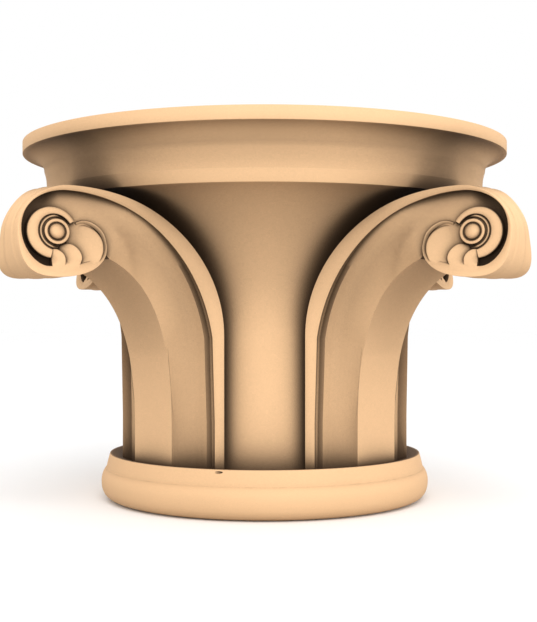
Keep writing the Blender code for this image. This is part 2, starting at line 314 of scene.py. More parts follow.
@dataclass
class TurnedBody:
    """The turned ring, bell, cove and abacus."""

    seat_radius: float = 0.1262
    ring_radius: float = 0.1435
    ring_height: float = 0.0398
    ring_lip_radius: float = 0.1360
    ring_top: Place = (0.1180, 0.0352)
    ring_flat: float = 0.0022
    ring_shoulder: Place = (0.0014, -0.0048)
    ring_waist: Place = (0.1393, 0.0272)
    ring_bulge_height: float = 0.0162
    neck_radius: float = 0.1170
    flare_start: float = 0.1550
    flare_height: float = 0.1003
    flare_out: float = 0.0708
    lower_band_radius: float = 0.1900
    lower_band_top: float = 0.2652
    lower_band_swell: Place = (0.0005, 0.010)
    cove_foot: Place = (0.1922, 0.2822)
    abacus_radius: float = 0.2105
    abacus_bottom: float = 0.2965
    top: float = 0.3068
    sides: int = 192
    edge: float = 0.0005
    edge_angle: float = math.radians(40)
    dent_radius: float = 0.0054
    dent_flatness: Place = (0.24, 0.20)
    dent_place: tuple[float, float, float] = (-0.0372, -0.1322, 0.0377)

    def profile(self) -> list[Place]:
        """The outer line, from the underside to the top.

        Returns:
            Radius and height of each point.
        """
        bulge = (self.ring_radius, self.ring_bulge_height)
        lip = (self.ring_lip_radius, self.ring_height)
        line = [(self.seat_radius, 0.0)]
        line += quarter(line[0], bulge, (0.78, 0.62), Leave.LEVEL, 10)
        line += quarter(bulge, self.ring_waist, (0.62, 0.10), Leave.UPRIGHT, 8)
        shoulder = (lip[0] + self.ring_shoulder[0], lip[1] + self.ring_shoulder[1])
        line += through([self.ring_waist, shoulder, lip], 4)[1:]
        line += [(self.ring_lip_radius - self.ring_flat, self.ring_height), self.ring_top]
        line += [(self.neck_radius, self.ring_top[1]), (self.neck_radius, self.flare_start)]
        for step in range(1, 21):
            turn = step / 20 * math.pi / 2
            out = self.neck_radius + self.flare_out * (1 - math.cos(turn))
            line.append((out, self.flare_start + self.flare_height * math.sin(turn)))
        line += [(self.lower_band_radius, self.lower_band_top)]
        out, up = self.lower_band_swell
        band_middle = (self.lower_band_radius + out, self.lower_band_top + up)
        line += through([line[-1], band_middle, self.cove_foot], 3)[1:]
        abacus_foot = (self.abacus_radius, self.abacus_bottom)
        line += quarter(self.cove_foot, abacus_foot, (0.50, 0.62), Leave.UPRIGHT, 9)
        line += [(self.abacus_radius, self.top)]
        return [tuple(spot) for spot in line]

    def build(self) -> bpy.types.Object:
        """Grows the body, rounds its edges and cuts the small dent in the ring's shoulder.

        Returns:
            The body.
        """
        body = grow("body", self.profile(), self.sides)
        round_edges(body, self.edge, self.edge_angle)
        combine(body, [self.dent()], cut=True)
        return body

    def dent(self) -> bpy.types.Object:
        """The cutter of a shallow dent in the ring's upper edge, under one ribbon's foot.

        Returns:
            The cutter.
        """
        start_clean()
        bpy.ops.mesh.primitive_uv_sphere_add(segments=32, ring_count=16, radius=self.dent_radius)
        made = bpy.context.object
        with editing(made):
            bpy.ops.transform.resize(value=(1, *self.dent_flatness), center_override=(0, 0, 0))
            bpy.ops.transform.translate(value=self.dent_place)
        return made


@dataclass
class ScrollFace:
    """Where a stalk's two faces stand, and how a place on them is reached."""

    foot_out: float = 0.1133
    foot_side: float = 0.0582
    turn: float = math.radians(17.65)
    eye_p: float = 0.1263
    eye_z: float = 0.2201
    lean: float = 0.16
    lean_start: float = 0.40
    lean_run: float = 0.45
    flute_depth: float = 0.0120
    flute_share: float = 0.70
    recess: float = 0.0055
    tip_recess: float = 0.0100
    tip_start: float = 0.004
    tip_run: float = 0.016
    least_core: float = 0.0030
    cove: float = 0.0058
    cove_end: Place = (0.050, 0.100)

    def cove_rise(self, p: float) -> float:
        """How far the flute curves up at the ribbon: fully on the stalk and not on the scroll."""
        start, end = self.cove_end
        return self.cove * (1 - smooth((p - start) / (end - start)))

    def hollow(self, p: float, z: float) -> float:
        """Depth of the hollow beside the ribbon: deepest in the flute and round the scroll's tip.

        Args:
            p: Distance along the face from the ribbon's foot.
            z: Height above the underside.

        Returns:
            The depth out of the face, below 0.
        """
        at_tip = smooth((p - self.eye_p + self.tip_start) / self.tip_run)
        deep = self.recess + (self.tip_recess - self.recess) * at_tip
        half = self.foot_side - p * math.sin(self.turn) + self.leaning(p, z) * math.cos(self.turn)
        deep = min(deep, (half - self.least_core) * math.cos(self.turn))
        return -self.flute_depth + (self.flute_depth - deep) * smooth(p / (self.flute_share * self.eye_p))

    def leaning(self, p: float, z: float) -> float:
        """How far the face leans out of its plane there: back at the top of the scroll."""
        return -self.lean * (z - self.eye_z) * smooth((p / self.eye_p - self.lean_start) / self.lean_run)

    def point(self, p: float, z: float, depth: float, side: Side) -> Vector:
        """A point in space.

        Args:
            p: Distance along the face from the ribbon's foot.
            z: Height above the underside.
            depth: How far it stands out of the face.
            side: Which face it is on.

        Returns:
            The point.
        """
        depth += self.leaning(p, z)
        out = self.foot_out + p * math.cos(self.turn) + depth * math.sin(self.turn)
        across = self.foot_side - p * math.sin(self.turn) + depth * math.cos(self.turn)
        return Vector((out, side.value * across, z))

    def lay(self, form: bpy.types.Object, side: Side) -> bpy.types.Object:
        """Lays a form that was modelled flat, from the scroll's eye, on one of the faces.

        Args:
            form: The form.
            side: Which face it goes on.

        Returns:
            The same form.
        """
        for vertex in form.data.vertices:
            x, y, depth = vertex.co
            vertex.co = self.point(self.eye_p + x, self.eye_z + y, depth, side)
        with editing(form):
            bpy.ops.mesh.normals_make_consistent(inside=False)
        return form

    def spot(self, x: float, y: float) -> Vector:
        """A place (p, z) on the face from its distances along and up from the eye."""
        return Vector((self.eye_p + x, self.eye_z + y))


@dataclass
class Ribbon:
    """The band that climbs each face's outer side, rolls round the scroll and ends behind it."""

    face: ScrollFace
    foot_z: float = 0.0340
    foot_width: float = 0.0084
    inner_bend: float = 0.1153
    outer_bend: float = 0.1430
    outer_turns: tuple[Place, ...] = ((-0.0106, 0.0348), (0.0288, 0.0001), (0.0, -0.0335))
    outer_pulls: tuple[Place, ...] = ((0.537, 0.555), (0.505, 0.505), (0.80, 0.686), (0.656, 0.570))
    inner_turns: tuple[Place, ...] = ((-0.0082, 0.0310), (0.0266, 0.0001), (0.0073, -0.0257))
    inner_pulls: tuple[Place, ...] = ((0.657, 0.434), (0.372, 0.784), (0.513, 0.490), (0.72, 0.50))
    twist: float = 0.345
    lap: float = 0.517
    wall_below: float = 0.0012
    undercut: float = 0.33
    wall_turn: Place = (0.40, 0.40)
    crown: float = 0.0016
    crown_end: float = 0.0005
    crown_reach: float = 0.0335
    bead: float = 0.0006
    groove: float = 0.00045
    groove_place: Place = (0.52, 0.07)
    edge: float = 0.00035
    edge_angle: float = math.radians(50)
    climb_steps: int = 40
    rim_steps: int = 16
    roll_steps: int = 10
    tail_steps: int = 4
    tail: tuple[Place, ...] = ((-0.0379, -0.0096), (-0.0362, -0.0012), (-0.0317, 0.0047),
                               (-0.0255, 0.0082), (-0.0199, 0.0087), (-0.0150, 0.0070))
    tail_width: float = 0.0026
    tail_depth: float = 0.0048
    tail_crest: float = 0.0030

    def outer(self) -> list[Vector]:
        """The outer edge, from the foot to the band's end behind the scroll.

        Returns:
            The places (p, z).
        """
        face, pulls = self.face, self.outer_pulls
        top, tip, low = (face.spot(*turn) for turn in self.outer_turns)
        middle = 0.5 * (self.foot_z + self.outer_bend)
        line = [Vector((-self.foot_width, z)) for z in (self.foot_z, middle, self.outer_bend)]
        line += quarter(line[-1], top, pulls[0], Leave.UPRIGHT, self.climb_steps)
        line += quarter(line[-1], tip, pulls[1], Leave.LEVEL, self.rim_steps)
        line += quarter(line[-1], low, pulls[2], Leave.UPRIGHT, self.rim_steps)
        line += quarter(line[-1], face.spot(*self.tail[0]), pulls[3], Leave.LEVEL, self.rim_steps)
        return line + [face.spot(*place) for place in through(self.tail, self.tail_steps)[1:]]

    def inner(self) -> list[Vector]:
        """The inner edge, with as many places as the outer edge has.

        Returns:
            The places (p, z).
        """
        face, pulls = self.face, self.inner_pulls
        top, tip, low = (face.spot(*turn) for turn in self.inner_turns)
        middle = 0.5 * (self.foot_z + self.inner_bend)
        line = [Vector((0.0, z)) for z in (self.foot_z, middle)]
        climb = [line[-1], Vector((0.0, self.inner_bend))]
        climb += quarter(climb[-1], top, pulls[0], Leave.UPRIGHT, 3 * self.climb_steps)
        for out in self.outer()[2 : 2 + self.climb_steps]:
            _, number, share = nearest(out, climb)
            line.append(climb[number].lerp(climb[number + 1], share))
        line.append(climb[-1])
        line += quarter(line[-1], tip, pulls[1], Leave.LEVEL, self.rim_steps)
        line += quarter(line[-1], low, pulls[2], Leave.UPRIGHT, self.rim_steps)
        end = face.spot(self.tail[0][0] + self.tail_width, self.tail[0][1])
        line += quarter(line[-1], end, pulls[3], Leave.LEVEL, self.rim_steps)
        outer = through(self.tail, self.tail_steps)
        for number in range(1, len(outer)):
            way = outer[min(number + 1, len(outer) - 1)] - outer[number - 1]
            inwards = Vector((way.y, -way.x)).normalized()
            line.append(face.spot(*(outer[number] + self.tail_width * inwards)))
        return line

    def roll_point(self, edge: Vector, middle: Vector, away: Vector, share: float, roll: float) -> Vector:
        """A point on the scroll's outer roll, with its bead, its shallow channel and its crease.

        Args:
            edge: The roll's edge on one face.
            middle: The roll's middle line.
            away: The way out of the scroll, in the face.
            share: How far it is from the edge to the middle.
            roll: How much of the roll shows there, from 0 on the stalk to 1 on the scroll.

        Returns:
            The point.
        """
        point = edge.lerp(middle, 1 - (1 - share) ** 2)
        point.y = edge.y * (1 - share)
        rise = self.bead * math.cos(3 * math.pi * share) * (1 - share) * share * 2
        centre, reach = self.groove_place
        rise -= self.groove * math.exp(-(((share - centre) / reach) ** 2))
        point.x += roll * rise * away.x
        point.z += roll * rise * away.y
        return point

    def section(self, outer: Vector, inner: Vector, away: Vector, levels: Place, bulge: float) -> list[Vector]:
        """One section of the band and of the stalk's back: up one face, over the back and down.

        Args:
            outer: The outer edge's place.
            inner: The inner edge's place.
            away: The way out of the scroll, in the face.
            levels: How far the band stands out of the face at its inner and its outer edge.
            bulge: How far the roll's middle stands out.

        Returns:
            The section's points, in order round it.
        """
        face = self.face
        low, high = levels
        foot = min(face.hollow(*inner) + face.cove_rise(inner.x), low) - self.wall_below
        start, run = self.wall_turn
        on_scroll = smooth((inner.x / face.eye_p - start) / run)
        aside = foot * (self.undercut - (self.undercut + math.tan(face.turn)) * on_scroll)
        half = [face.point(inner.x + aside, inner.y, foot, Side.LEFT)]
        lapped = outer + Vector((self.lap * max(high, 0.0), 0.0))
        for share in (0.0, 0.5, 1.0):
            half.append(face.point(*inner.lerp(lapped, share), low + (high - low) * share, Side.LEFT))
        crown = outer + bulge * away
        middle = face.point(*crown, low, Side.LEFT)
        middle.y = 0.0
        roll = smooth(outer.x / face.eye_p)
        for step in range(1, self.roll_steps):
            half.append(self.roll_point(half[3], middle, away, step / self.roll_steps, roll))
        other = [Vector((point.x, -point.y, point.z)) for point in reversed(half)]
        return half + [middle] + other

    def build(self) -> bpy.types.Object:
        """Lofts the band through its sections and rounds its long edges.

        Returns:
            The band, with the stalk's back and the scroll's roll.
        """
        outer, inner = self.outer(), self.inner()
        last = len(outer) - 1
        behind = last - self.rim_steps - self.tail_steps * (len(self.tail) - 1)
        rings = []
        for number, (out, inn) in enumerate(zip(outer, inner)):
            before, after = outer[max(number - 1, 0)], outer[min(number + 1, last)]
            away = (after - before).orthogonal().normalized()
            if away.dot(out - inn) < 0:
                away = -away
            over = smooth((number - behind) / (last - behind))
            raised = self.twist * nearest(out, inner)[0] * (1 - over)
            aside = smooth(abs(self.face.eye_z - out.y) / self.crown_reach)
            bulge = self.crown + (self.crown_end - self.crown) * aside
            bulge *= smooth(out.x / self.face.eye_p)
            levels = (-self.tail_depth * over, raised - self.tail_crest * over)
            rings.append(self.section(out, inn, away, levels, bulge))
        band = loft("ribbon", rings)
        round_edges(band, self.edge, self.edge_angle)
        return band


@dataclass
class Web:
    """The stalk inside its ribbons: the flutes, the flat spine and the scroll's sunk field."""

    face: ScrollFace
    ribbon: Ribbon
    foot_z: float = 0.0322
    spine_out: float = 0.1277
    spine_bend: float = 0.0646
    spine_top: Place = (0.2437, 0.2080)
    spine_end: float = 0.1950
    spine_widths: Place = (0.0466, 0.0620)
    sag: float = 0.24
    swell: float = 0.16
    cove_share: float = 0.34
    tuck: float = 0.18
    covered: float = 0.62
    spine_columns: tuple[float, ...] = (0.05, 0.15, 0.32, 0.68, 0.85, 0.95)
    rows: tuple[float, ...] = (0.08, 0.18, 0.29, 0.40, 0.51, 0.62, 0.73, 0.84, 0.93)
    grid: float = 0.0028
    field_reach: float = 0.0420

    def spine_edge(self) -> list[tuple[Vector, float]]:
        """The flat spine's edge, from the foot to behind the scroll.

        Returns:
            The places (p, z) with their depths.
        """
        foot, bend = Vector((self.spine_out, self.foot_z)), Vector((self.spine_out, self.spine_bend))
        sweep = [foot, foot.lerp(bend, 0.5), bend]
        sweep += quarter(bend, self.spine_top, (0.449, 0.918), Leave.UPRIGHT, 64)
        shown = [place for place in sweep if place.x < self.spine_end]
        last, beyond = shown[-1], sweep[len(shown)]
        shown.append(last + (beyond - last) * (self.spine_end - last.x) / (beyond.x - last.x))
        edge = []
        for out, z in shown:
            share = (out - self.spine_out) / (self.spine_end - self.spine_out)
            half = (self.spine_widths[0] + (self.spine_widths[1] - self.spine_widths[0]) * share) / 2
            along, across = out - self.face.foot_out, half - self.face.foot_side
            p = along * math.cos(self.face.turn) - across * math.sin(self.face.turn)
            depth = along * math.sin(self.face.turn) + across * math.cos(self.face.turn)
            edge.append((Vector((p, z)), depth - self.face.leaning(p, z)))
        return edge

    def depth(self, place: Vector, wall: Sequence[Vector], edge: Sequence[tuple[Vector, float]]) -> float:
        """Depth of the hollow between the ribbon's wall and the spine's edge.

        Args:
            place: Where on the face.
            wall: The ribbon's inner edge.
            edge: The spine's edge, as places and depths.

        Returns:
            The depth out of the face, below 0.
        """
        to_wall, number, share = nearest(place, wall)
        to_edge, mark, part = nearest(place, [spot for spot, _ in edge])
        foot = self.face.hollow(*wall[number].lerp(wall[number + 1], share))
        open_field = smooth((place.x - 0.70 * self.face.eye_p) / (0.15 * self.face.eye_p))
        foot += (self.face.hollow(*place) - foot) * open_field
        far = edge[mark][1] + part * (edge[mark + 1][1] - edge[mark][1])
        share = to_wall / (to_wall + to_edge)
        drop = max(foot - far, 0.0)
        swell = self.swell * smooth((place.y - self.ribbon.inner_bend) / 0.06)
        curve = -4 * self.sag * share * (1 - share) + 6.75 * swell * share * share * (1 - share)
        rise = self.face.cove_rise(place.x) * (1 - min(share / self.cove_share, 1.0)) ** 2
        return foot + (far - foot) * share + curve * drop + rise

    @staticmethod
    def inside(place: Vector, loop: Sequence[Vector]) -> bool:
        """Whether a place lies inside a closed loop.

        Args:
            place: The place.
            loop: The loop's places, in order.

        Returns:
            True inside the loop.
        """
        crossings = 0
        for a, b in zip(loop, list(loop[1:]) + [loop[0]]):
            if (a.y > place.y) != (b.y > place.y):
                crossings += place.x < a.x + (place.y - a.y) / (b.y - a.y) * (b.x - a.x)
        return crossings % 2 == 1

    def build(self) -> bpy.types.Object:
        """Makes the two sculpted faces and closes them along their outline.

        Returns:
            The closed web.
        """
        edge = self.spine_edge()
        border = [spot for spot, _ in edge]
        outer, inner = self.ribbon.outer(), self.ribbon.inner()
        turn = len(inner) - 4 * (len(self.ribbon.tail) - 1)
        wall = inner[:turn]
        covered = [out.lerp(inn, self.covered) for out, inn in zip(outer[: turn - 2], inner)]
        loop = covered + border[::-1]
        climbing = self.ribbon.climb_steps + 3
        places = loop + [inn.lerp(out, self.tuck) for inn, out in zip(wall[:climbing], outer)]
        ties = [(i, (i + 1) % len(loop)) for i in range(len(loop))]
        ties += [(i, i + 1) for i in range(len(loop), len(places) - 1)]
        for share in self.rows:
            start = len(places)
            for spot in wall[: climbing - 6]:
                _, number, part = nearest(spot, border)
                across = border[number] + part * (border[number + 1] - border[number])
                places.append(spot + share * (across - spot))
            ties += [(i, i + 1) for i in range(start, len(places) - 1)]
        reach = self.field_reach
        for row in range(math.floor(2 * reach / self.grid)):
            for column in range(math.ceil(2.4 * reach / self.grid)):
                x = (column + 0.5 * (row % 2)) * self.grid - 1.4 * reach
                place = self.face.spot(x, row * self.grid - reach)
                clear = min((place - other).length_squared for other in places) > (0.7 * self.grid) ** 2
                if clear and self.inside(place, loop):
                    places.append(place)
        flat, _, corners, *_ = geometry.delaunay_2d_cdt(places, ties, [], 1, 1e-7)
        depths = [self.depth(spot, wall, edge) for spot in flat]
        count = len(flat)
        points, faces = [], []
        for side, start in ((Side.LEFT, 0), (Side.RIGHT, count)):
            points += [self.face.point(spot.x, spot.y, depth, side) for spot, depth in zip(flat, depths)]
            faces += [tuple(start + i for i in face) for face in corners]
        seen: dict[tuple[int, int], tuple[int, int] | None] = {}
        for face in corners:
            for a, b in zip(face, list(face[1:]) + [face[0]]):
                key = (min(a, b), max(a, b))
                seen[key] = None if key in seen else (a, b)
        for a, b in (pair for pair in seen.values() if pair):
            rows = []
            for i in (a, b):
                left, right = points[i], points[count + i]
                rows.append([left] + [left.lerp(right, share) for share in self.spine_columns] + [right])
            for column in range(len(self.spine_columns) + 1):
                start = len(points)
                points += [rows[0][column], rows[1][column], rows[1][column + 1], rows[0][column + 1]]
                faces.append((start, start + 1, start + 2, start + 3))
        return from_faces("web", points, faces)


@dataclass
class Lobe:
    """One of the three rounded lobes under the scroll's eye."""

    name: str
    outline: tuple[Place, ...]
    centre: Place
    level: float
    slope: float
    rise: float
    dome: float = 0.0008
    shoulder: float = 0.0013
    toe: Place = (-0.0205, -0.0250)
    toe_level: float = 0.00015
    foot: float = -0.0130

    def surface(self, place: Vector, share: float) -> float:
        """Depth of the lobe's surface.

        Args:
            place: Where on the lobe.
            share: How far that is from its centre to its outline.

        Returns:
            The depth out of the face.
        """
        across, up = place.x - self.centre[0], place.y - self.centre[1]
        level = self.level + self.slope * across + self.rise * up + self.dome * (1 - share * share)
        return level + (self.toe_level - level) * smooth((self.toe[0] - place.y) / (self.toe[0] - self.toe[1]))

    def build(self) -> bpy.types.Object:
        """Lofts the lobe from its foot up over its rounded shoulder to its crest.

        Returns:
            The lobe.
        """
        centre = Vector(self.centre)
        line = through(self.outline, 7, closed=True)
        rings = [[Vector((*spot, self.foot)) for spot in line]]
        shoulders = ((1.0, 1.0), (0.992, 0.62), (0.975, 0.30), (0.945, 0.08), (0.90, 0.0), (0.78, 0.0),
                     (0.62, 0.0), (0.44, 0.0), (0.26, 0.0), (0.08, 0.0))
        for share, drop in shoulders:
            ring = []
            for spot in line:
                place = centre + share * (spot - centre)
                ring.append(Vector((*place, self.surface(place, share) - drop * self.shoulder)))
            rings.append(ring)
        return loft(self.name, rings)


@dataclass
class ScrollCarving:
    """What stands in the scroll's sunk field: eye, thin ring, crescent, lobes and their plate."""

    face: ScrollFace
    foot: float = -0.0130
    eye_radius: float = 0.0095
    sides: int = 56
    crescent_centre: Place = (0.0033, -0.0008)
    crescent_radius: float = 0.0191
    crescent_level: float = -0.0012
    crescent_start: float = math.radians(148.5)
    crescent_end: float = math.radians(-74.0)
    crescent_inner: Place = (0.0118, 0.0139)
    ring_radius: float = 0.0117
    ring_thickness: float = 0.0011
    ring_reach: Place = (0.0090, 0.0142)
    ring_level: float = -0.0032
    ring_start: float = math.radians(125)
    ring_end: float = math.radians(-100)
    plate_level: float = -0.0043
    plate: tuple[Place, ...] = ((-0.0368, -0.0096), (-0.0350, -0.0010), (-0.0306, 0.0042),
                                (-0.0250, 0.0073), (-0.0199, 0.0077), (-0.0100, 0.0040),
                                (-0.0080, -0.0150), (-0.0200, -0.0290), (-0.0330, -0.0220))

    def eye(self) -> bpy.types.Object:
        """The eye: a domed boss in a round groove, with a flat ring round it."""
        rings = [(self.eye_radius, self.foot), (self.eye_radius, -0.0010), (0.0093, -0.0006), (0.0089, -0.0004),
                 (0.0076, -0.0004), (0.0072, -0.0006), (0.0069, -0.0011), (0.0066, -0.0018), (0.0061, -0.0019)]
        for step in range(9):
            turn = step / 9 * math.pi / 2
            rings.append((0.0058 * math.cos(turn), -0.0014 + 0.0032 * math.sin(turn)))
        return grow("eye", rings, self.sides)

    def thin_ring(self) -> bpy.types.Object:
        """The thin round moulding that shows between the eye and the crescent, and sinks at its ends."""
        rings = []
        for step in range(self.sides + 1):
            share = step / self.sides
            angle = self.ring_start + (self.ring_end - self.ring_start) * share
            ray = Vector((math.cos(angle), math.sin(angle)))
            level = self.ring_level - 0.0030 * (1 - smooth(share / 0.2) * smooth((1 - share) / 0.15))
            near, far = self.ring_reach
            ring = [Vector((*(near * ray), self.foot)), Vector((*(near * ray), level))]
            for turn in range(9):
                bend = math.pi * turn / 8
                radius = self.ring_radius - self.ring_thickness * math.cos(bend)
                ring.append(Vector((*(radius * ray), level + 1.2 * self.ring_thickness * math.sin(bend))))
            ring += [Vector((*(far * ray), level)), Vector((*(far * ray), self.foot))]
            rings.append(ring)
        return loft("thin_ring", rings)

    def crescent(self) -> bpy.types.Object:
        """The scroll's second turn: a flat crescent with a crisp outer edge."""
        centre = Vector(self.crescent_centre)
        rings = []
        steps = 72
        for step in range(steps + 1):
            angle = self.crescent_start + (self.crescent_end - self.crescent_start) * step / steps
            ray = Vector((math.cos(angle), math.sin(angle)))
            along = ray.dot(centre)
            far = along + math.sqrt(self.crescent_radius ** 2 - centre.length_squared + along * along)
            first, last = self.crescent_inner
            near = first + (last - first) * smooth(step / steps * 2)
            level = self.crescent_level
            profile = ((near, self.foot), (near, level - 0.0005), (near + 0.0002, level - 0.0002),
                       (near + 0.0006, level), (0.5 * (near + far), level + 0.0002), (far - 0.0010, level),
                       (far - 0.0004, level - 0.0002), (far - 0.0001, level - 0.0005), (far, level - 0.0010),
                       (far, self.foot))
            rings.append([Vector((*(radius * ray), depth)) for radius, depth in profile])
        return loft("crescent", rings)

    def lobes(self) -> list[bpy.types.Object]:
        """The three lobes, from the largest to the smallest.

        Returns:
            The lobes, modelled flat.
        """
        large = Lobe("large_lobe", ((-0.0090, 0.0040), (-0.0130, 0.0056), (-0.0190, 0.0058),
                                    (-0.0245, 0.0046), (-0.0300, 0.0010), (-0.0336, -0.0045),
                                    (-0.0347, -0.0105), (-0.0337, -0.0165), (-0.0300, -0.0235),
                                    (-0.0225, -0.0288), (-0.0130, -0.0285), (-0.0080, -0.0150)),
                     (-0.0210, -0.0110), -0.0026, -0.27, -0.05)
        middle = Lobe("middle_lobe", ((-0.0020, -0.0110), (-0.0045, -0.0092), (-0.0085, -0.0085),
                                      (-0.0125, -0.0099), (-0.0160, -0.0135), (-0.0177, -0.0180),
                                      (-0.0170, -0.0225), (-0.0140, -0.0280), (-0.0060, -0.0290),
                                      (-0.0010, -0.0200)),
                      (-0.0090, -0.0180), -0.0018, -0.30, 0.0)
        small = Lobe("small_lobe", ((0.0058, -0.0145), (0.0035, -0.0130), (0.0005, -0.0130),
                                    (-0.0025, -0.0147), (-0.0047, -0.0175), (-0.0054, -0.0210),
                                    (-0.0045, -0.0260), (-0.0005, -0.0300), (0.0048, -0.0280),
                                    (0.0050, -0.0200)),
                     (0.0002, -0.0200), -0.0012, -0.24, 0.0)
        return [lobe.build() for lobe in (large, middle, small)]

    def lobe_plate(self) -> bpy.types.Object:
        """The low plate behind the large lobe, which the ribbon's tail runs round."""
        line = through(self.plate, 5, closed=True)
        levels = (self.foot, self.plate_level)
        return loft("lobe_plate", [[Vector((*spot, depth)) for spot in line] for depth in levels])

    def build(self, side: Side) -> list[bpy.types.Object]:
        """Models each form flat and lays it on one face."""
        forms = [self.lobe_plate(), *self.lobes(), self.crescent(), self.thin_ring(), self.eye()]
        return [self.face.lay(form, side) for form in forms]


@dataclass
class Capital:
    """The whole capital: the turned body with its four stalks, as one closed mesh."""

    stalks: int = 4
    first_bearing: float = math.radians(45)
    crease: float = math.radians(32)
    band_top: float = 0.2652

    def stalk(self) -> bpy.types.Object:
        """One stalk along +X, joined from its ribbon, its web and its carving."""
        face = ScrollFace()
        ribbon = Ribbon(face)
        made = ribbon.build()
        forms = ScrollCarving(face).build(Side.LEFT)
        parts = [Web(face, ribbon).build()] + forms + [mirrored(form) for form in forms]
        for piece in [made] + parts:
            to_triangles(piece)
        combine(made, parts)
        return made

    def build(self) -> bpy.types.Object:
        """Joins the body and its stalks, and shades round surfaces smooth up to their creases."""
        made = TurnedBody().build()
        first = self.stalk()
        log.info("stalk: %d faces", len(first.data.polygons))
        copies = []
        for number in range(self.stalks):
            copy = first.copy()
            copy.data = first.data.copy()
            bearing = self.first_bearing + 2 * math.pi * number / self.stalks
            copy.data.transform(Matrix.Rotation(bearing, 4, "Z"))
            bpy.context.scene.collection.objects.link(copy)
            copies.append(copy)
        bpy.data.objects.remove(first)
        combine(made, copies)
        made.name = made.data.name = "carved_capital"
        choose(made)
        bpy.ops.object.shade_smooth_by_angle(angle=self.crease)
        points = made.data.vertices
        for edge in made.data.edges:
            if all(abs(points[i].co.z - self.band_top) < 1e-4 for i in edge.vertices):
                edge.use_edge_sharp = True
        return made


def group_socket(group: bpy.types.NodeTree, name: str, kind: str, value: object = None,
                 out: bool = False) -> None:
    """Adds a named input or output to a shader node group.

    Args:
        group: The node group.
        name: The socket's name.
        kind: The socket's type.
        value: What it holds when nothing is linked to it.
        out: Whether it is an output.
    """
    socket = group.interface.new_socket(name, in_out="OUTPUT" if out else "INPUT", socket_type=kind)
    if value is not None:
        socket.default_value = value


def grain_group() -> bpy.types.NodeTree:
    """The group of fine grain: a mask of cloudy and fine specks, which also serves as a height.

    Returns:
        The node group, with inputs Size and Cloud and output Grain.
    """
    group = bpy.data.node_groups.new("stone_grain", "ShaderNodeTree")
    group_socket(group, "Size", "NodeSocketFloat", 900.0)
    group_socket(group, "Cloud", "NodeSocketFloat", 14.0)
    group_socket(group, "Grain", "NodeSocketFloat", out=True)
    group_socket(group, "Clouds", "NodeSocketFloat", out=True)
    nodes, links = group.nodes, group.links
    given, put = nodes.new("NodeGroupInput"), nodes.new("NodeGroupOutput")
    place = nodes.new("ShaderNodeTexCoord")
    fine, broad = nodes.new("ShaderNodeTexNoise"), nodes.new("ShaderNodeTexNoise")
    fine.inputs["Detail"].default_value = 3.0
    fine.inputs["Roughness"].default_value = 0.7
    broad.inputs["Detail"].default_value = 4.0
    for texture, name in ((fine, "Size"), (broad, "Cloud")):
        links.new(place.outputs["Object"], texture.inputs["Vector"])
        links.new(given.outputs[name], texture.inputs["Scale"])
    links.new(fine.outputs["Fac"], put.inputs["Grain"])
    links.new(broad.outputs["Fac"], put.inputs["Clouds"])
    return group


def painted_shade_group() -> bpy.types.NodeTree:
    """The group of painted shade in hollows: 1 in the open and 0 deep in a corner, from ambient occlusion.

    Returns:
        The node group, with inputs Reach and Contrast and output Open.
    """
    group = bpy.data.node_groups.new("painted_hollow_shade", "ShaderNodeTree")
    group_socket(group, "Reach", "NodeSocketFloat", 0.03)
    group_socket(group, "Contrast", "NodeSocketFloat", 1.0)
    group_socket(group, "Open", "NodeSocketFloat", out=True)
    nodes, links = group.nodes, group.links
    given, put = nodes.new("NodeGroupInput"), nodes.new("NodeGroupOutput")
    # Ambient occlusion of the capital alone: the mask of the painted shade in hollows and corners.
    shade, power = nodes.new("ShaderNodeAmbientOcclusion"), nodes.new("ShaderNodeMath")
    shade.samples = 12
    shade.only_local = True
    power.operation = "POWER"
    links.new(given.outputs["Reach"], shade.inputs["Distance"])
    links.new(shade.outputs["AO"], power.inputs[0])
    links.new(given.outputs["Contrast"], power.inputs[1])
    links.new(power.outputs["Value"], put.inputs["Open"])
    return group


